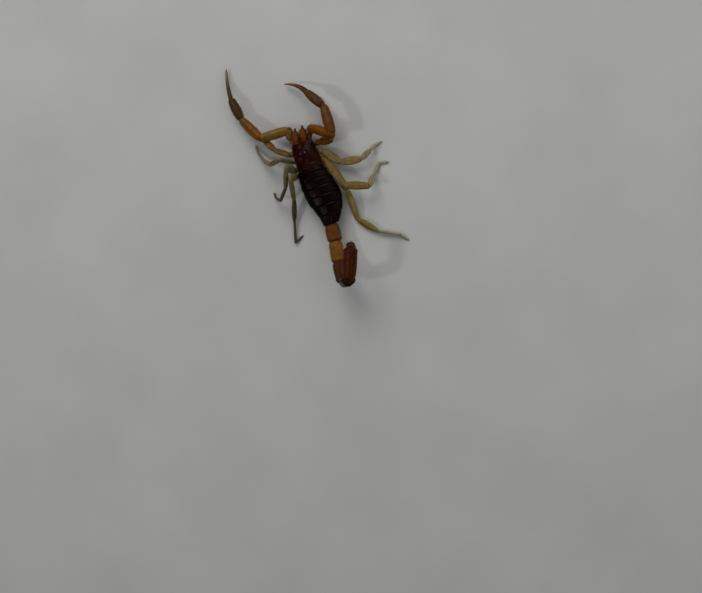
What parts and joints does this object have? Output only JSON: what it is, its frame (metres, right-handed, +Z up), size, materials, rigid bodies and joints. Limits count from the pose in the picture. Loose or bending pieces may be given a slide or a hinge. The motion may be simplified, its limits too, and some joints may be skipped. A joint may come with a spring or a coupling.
{
  "type": "bark scorpion",
  "caption": "Life-size bark scorpion standing on its feet, claws held forward and the tail curled up over its right side, with the sting hanging at the end.",
  "frame": {"origin": "middle of the footprint of the whole animal, at the level of the floor that its feet stand on", "axes": "+Y from tail to head along the trunk, +X to the animal's right, +Z up"},
  "size_m": [0.0382, 0.0718, 0.0168],
  "materials": {
    "trunk": "glossy black-brown shell plates",
    "head": "glossy dark red-brown shell, finely grained",
    "eye": "polished black",
    "chelicera": "glossy orange-brown shell with dark tips",
    "coxa": "satin yellow-brown shell",
    "pecten": "matt pale tan",
    "palp": "glossy orange-brown shell",
    "hand": "glossy dark brown shell with pale finger tips",
    "leg_base": "satin yellow-olive shell",
    "leg_end": "satin pale grey-tan shell, slightly see-through",
    "tail_base": "glossy amber-brown shell",
    "tail_end": "glossy red-brown shell",
    "sting": "glossy red-brown shell with a dark sting"
  },
  "bodies": {
    "root": {"carapace": "head", "median_eye_right": "eye", "median_eye_left": "eye", "chelicera_right": "chelicera", "chelicera_left": "chelicera", "coxosternum": "coxa", "pecten_right": "pecten", "pecten_left": "pecten", "mesosoma_1": "trunk", "mesosoma_2": "trunk", "mesosoma_3": "trunk", "mesosoma_4": "trunk", "mesosoma_5": "trunk", "mesosoma_6": "trunk", "mesosoma_7": "trunk", "metasoma_1": "tail_base", "metasoma_2": "tail_base", "metasoma_3": "tail_end", "metasoma_4": "tail_end", "metasoma_5": "tail_end", "telson": "sting", "pedipalp_right_trochanter": "palp", "pedipalp_right_femur": "palp", "pedipalp_right_patella": "palp", "pedipalp_right_hand": "hand", "pedipalp_right_finger": "hand", "pedipalp_left_trochanter": "palp", "pedipalp_left_femur": "palp", "pedipalp_left_patella": "palp", "pedipalp_left_hand": "hand", "pedipalp_left_finger": "hand", "leg_right_1_femur": "leg_base", "leg_right_1_patella": "leg_base", "leg_right_1_shank": "leg_end", "leg_right_2_femur": "leg_base", "leg_right_2_patella": "leg_base", "leg_right_2_shank": "leg_end", "leg_right_3_femur": "leg_base", "leg_right_3_patella": "leg_base", "leg_right_3_shank": "leg_end", "leg_right_4_femur": "leg_base", "leg_right_4_patella": "leg_base", "leg_right_4_shank": "leg_end", "leg_left_1_femur": "leg_base", "leg_left_1_patella": "leg_base", "leg_left_1_shank": "leg_end", "leg_left_2_femur": "leg_base", "leg_left_2_patella": "leg_base", "leg_left_2_shank": "leg_end", "leg_left_3_femur": "leg_base", "leg_left_3_patella": "leg_base", "leg_left_3_shank": "leg_end", "leg_left_4_femur": "leg_base", "leg_left_4_patella": "leg_base", "leg_left_4_shank": "leg_end"}
  },
  "joints": []
}
